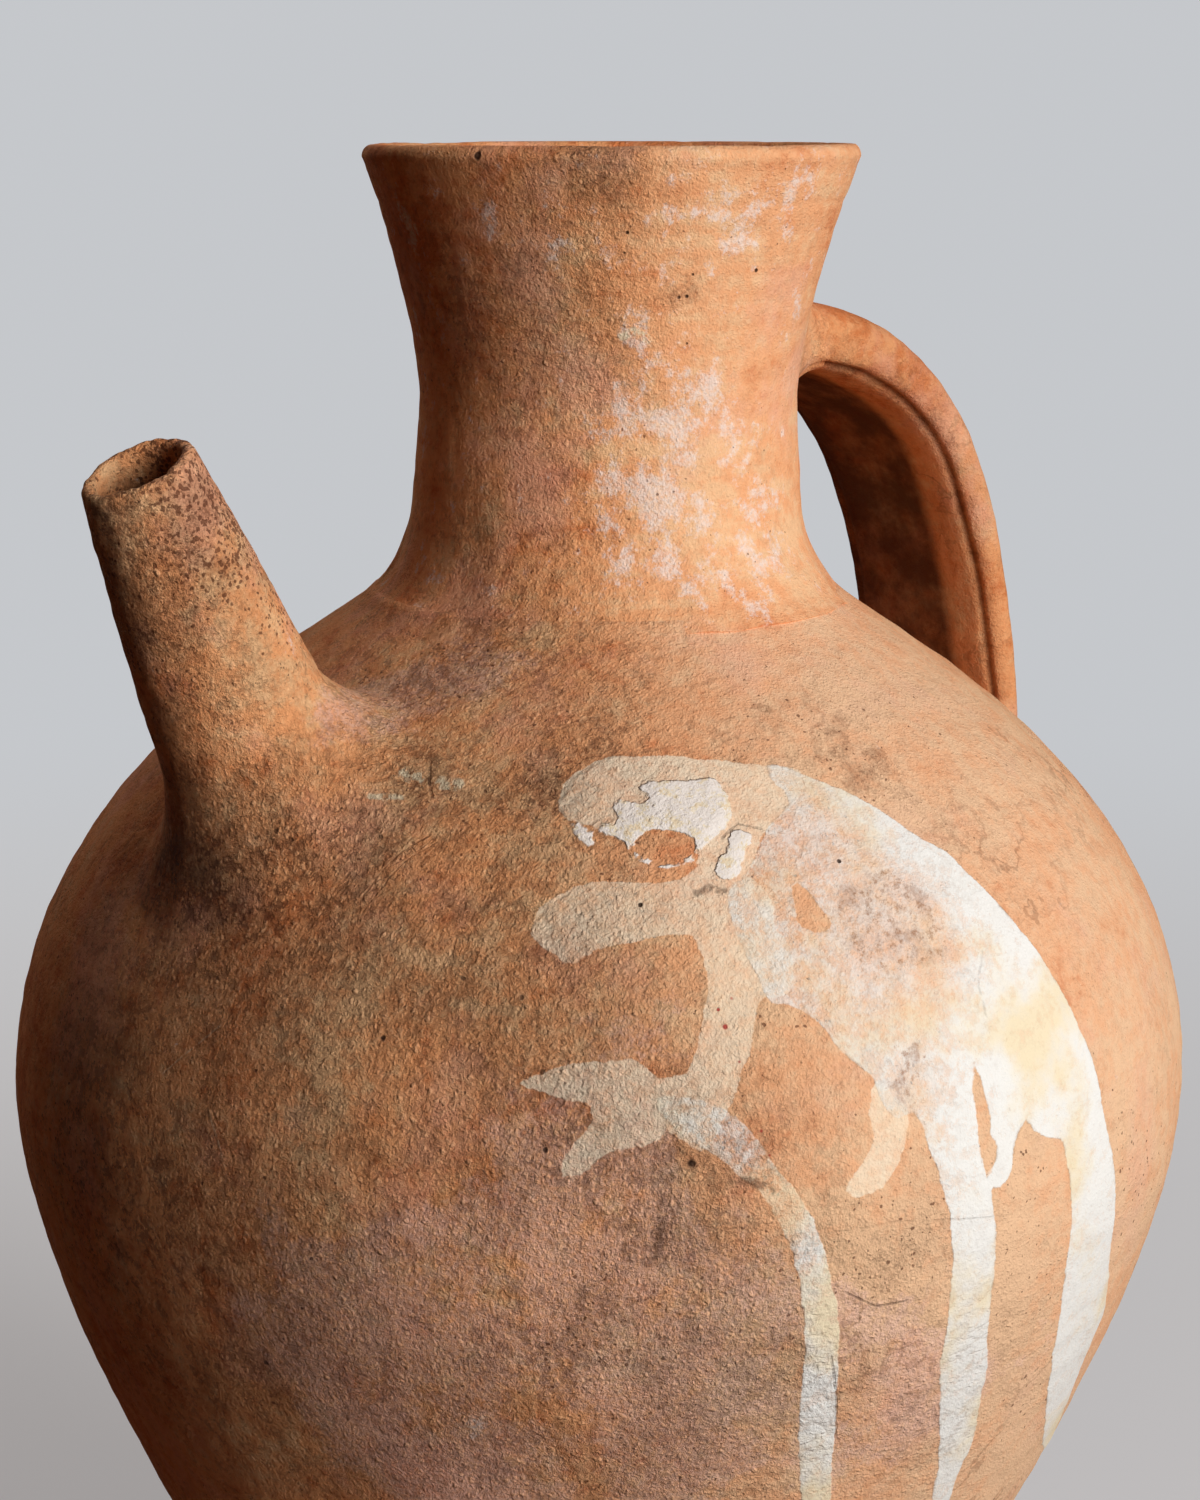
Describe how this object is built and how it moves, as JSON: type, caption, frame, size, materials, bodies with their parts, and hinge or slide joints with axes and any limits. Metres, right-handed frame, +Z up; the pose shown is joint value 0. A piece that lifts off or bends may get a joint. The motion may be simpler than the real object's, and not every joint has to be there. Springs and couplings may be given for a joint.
{
  "type": "spouted jug",
  "caption": "Unglazed terracotta jug with a round body, flaring neck, side spout and strap handle, splashed with white slip.",
  "frame": {"origin": "centre of the flat base, on the surface that the jug stands on", "axes": "+Z up along the neck's axis, -X towards the spout, +X towards the handle"},
  "size_m": [0.3016, 0.2992, 0.44],
  "materials": {
    "body_clay": "matte, gritty unglazed terracotta, stained, with a pour of white slip",
    "neck_clay": "matte, gritty unglazed terracotta with a pale bloom",
    "spout_clay": "matte, coarse unglazed terracotta with dark specks",
    "handle_clay": "matte, smooth-pulled unglazed terracotta",
    "luting_clay": "matte, finger-smoothed unglazed terracotta"
  },
  "bodies": {
    "root": {"lower_body": "body_clay", "upper_body": "body_clay", "neck": "neck_clay", "spout": "spout_clay", "spout_collar": "luting_clay", "handle": "handle_clay", "handle_upper_wad": "luting_clay", "handle_lower_wad": "luting_clay", "girth_coil": "luting_clay", "neck_coil": "luting_clay"}
  },
  "joints": []
}
